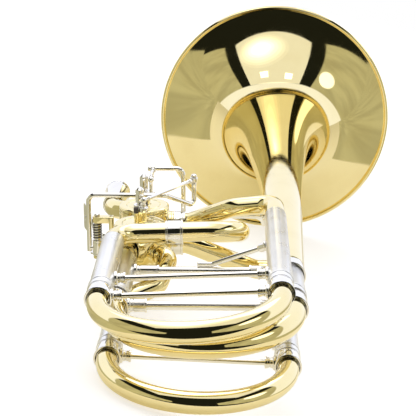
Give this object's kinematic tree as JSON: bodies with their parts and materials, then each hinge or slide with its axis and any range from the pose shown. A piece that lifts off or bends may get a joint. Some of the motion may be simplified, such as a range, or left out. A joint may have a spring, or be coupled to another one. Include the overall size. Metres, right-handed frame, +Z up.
{
  "type": "bass trombone bell section",
  "caption": "Bell section of a bass trombone with two rotary valves, thumb levers and sliding tuning bows; the receiver takes a hand slide.",
  "frame": {"origin": "middle of the footprint, level with the surface that the bell rim and the lower slide bow lie on", "axes": "+Y from the tuning slides towards the bell's mouth, +Z up, +X to the right seen from the tuning slides"},
  "size_m": [0.2842, 0.661, 0.2383],
  "materials": {
    "lacquered_brass": "polished yellow brass under clear lacquer",
    "nickel_silver": "polished nickel silver under clear lacquer",
    "bumper": "dull",
    "spring_steel": "drawn wire"
  },
  "bodies": {
    "bell_section": {"bell": "lacquered_brass", "main_outer_tube_right": "nickel_silver", "bell_tail_ferrule": "nickel_silver", "main_outer_tube_left": "nickel_silver", "upper_outer_tube_left": "nickel_silver", "upper_outer_tube_right": "nickel_silver", "lower_outer_tube_left": "nickel_silver", "lower_outer_tube_right": "nickel_silver", "far_valve_casing": "lacquered_brass", "far_casing_cap": "lacquered_brass", "far_bearing_plate": "lacquered_brass", "far_first_bumper": "bumper", "far_second_bumper": "bumper", "near_valve_casing": "lacquered_brass", "near_casing_cap": "lacquered_brass", "near_bearing_plate": "lacquered_brass", "near_first_bumper": "bumper", "near_second_bumper": "bumper", "gooseneck": "lacquered_brass", "receiver": "nickel_silver", "gooseneck_ferrule": "nickel_silver", "valve_link_tube": "lacquered_brass", "valve_outlet_tube": "lacquered_brass", "wide_brace": "nickel_silver", "upper_outer_brace": "nickel_silver", "lower_outer_brace": "nickel_silver", "bell_brace": "nickel_silver", "strut": "nickel_silver", "upper_feed_tube": "lacquered_brass", "upper_return_tube": "lacquered_brass", "lower_feed_tube": "lacquered_brass", "lower_return_tube": "lacquered_brass", "upper_feed_ferrule": "nickel_silver", "lower_feed_ferrule": "nickel_silver", "upper_return_ferrule": "nickel_silver", "first_lever_bracket": "lacquered_brass", "first_hinge_screw": "nickel_silver", "first_lever_spring": "spring_steel", "second_lever_bearing_right": "nickel_silver", "second_lever_bearing_left": "nickel_silver"},
    "main_slide": {"main_slide_bow": "lacquered_brass", "main_slide_inner_tube_left": "nickel_silver", "main_slide_inner_tube_right": "nickel_silver", "main_slide_brace": "nickel_silver"},
    "upper_slide": {"upper_slide_bow": "lacquered_brass", "upper_slide_inner_tube_left": "nickel_silver", "upper_slide_inner_tube_right": "nickel_silver", "upper_slide_brace": "nickel_silver"},
    "lower_slide": {"lower_slide_bow": "lacquered_brass", "lower_slide_inner_tube_left": "nickel_silver", "lower_slide_inner_tube_right": "nickel_silver", "lower_slide_brace": "nickel_silver"},
    "far_rotor": {"far_rotor": "nickel_silver", "far_stop_arm": "nickel_silver"},
    "near_rotor": {"near_rotor": "nickel_silver", "near_stop_arm": "nickel_silver"},
    "first_lever": {"first_lever": "nickel_silver"},
    "first_link": {"first_link": "nickel_silver"},
    "second_lever": {"second_lever": "nickel_silver"},
    "second_link": {"second_link": "nickel_silver"}
  },
  "joints": [
    {"name": "main_slide_pull", "type": "slide", "parent": "bell_section", "child": "main_slide", "axis": [0, -0.9936, -0.1129], "range_m": [0, 0.045]},
    {"name": "upper_slide_pull", "type": "slide", "parent": "bell_section", "child": "upper_slide", "axis": [0, -0.9936, -0.1129], "range_m": [0, 0.06]},
    {"name": "lower_slide_pull", "type": "slide", "parent": "bell_section", "child": "lower_slide", "axis": [0, -0.9936, -0.1129], "range_m": [0, 0.06]},
    {"name": "near_valve_turn", "type": "hinge", "parent": "bell_section", "child": "near_rotor", "pos_m": [-0.0891, -0.0957, 0.05087], "axis": [-0.1891, -0.1108, 0.9757], "range_deg": [0, 90]},
    {"name": "far_valve_turn", "type": "hinge", "parent": "bell_section", "child": "far_rotor", "pos_m": [-0.0891, -0.049, 0.05618], "axis": [-0.1891, -0.1108, 0.9757], "range_deg": [0, 90]},
    {"name": "first_lever_press", "type": "hinge", "parent": "bell_section", "child": "first_lever", "pos_m": [-0.12406, -0.07209, 0.04678], "axis": [-0.1891, -0.1108, 0.9757], "range_deg": [0, 14.3], "stiffness_Nm_per_rad": 0.15, "springref_deg": -22.92},
    {"name": "first_link_swing", "type": "hinge", "parent": "first_lever", "child": "first_link", "pos_m": [-0.05757, -0.05291, 0.10387], "axis": [-0.1891, -0.1108, 0.9757], "range_deg": [-2, 2]},
    {"name": "second_lever_press", "type": "hinge", "parent": "bell_section", "child": "second_lever", "pos_m": [0.02501, -0.02397, 0.06617], "axis": [-0.982, 0.0213, -0.1879], "range_deg": [0, 12.2], "stiffness_Nm_per_rad": 0.15, "springref_deg": -22.92},
    {"name": "second_link_swing", "type": "hinge", "parent": "second_lever", "child": "second_link", "pos_m": [-0.09133, -0.02806, 0.1022], "axis": [-0.982, 0.0213, -0.1879], "range_deg": [-10, 0]}
  ],
  "couplings": [
    {"joint": "first_lever_press", "follows": "near_valve_turn", "ratio": 0.15737},
    {"joint": "first_link_swing", "follows": "near_valve_turn", "ratio": -0.006},
    {"joint": "second_lever_press", "follows": "far_valve_turn", "ratio": 0.13384},
    {"joint": "second_link_swing", "follows": "far_valve_turn", "ratio": -0.10708}
  ]
}
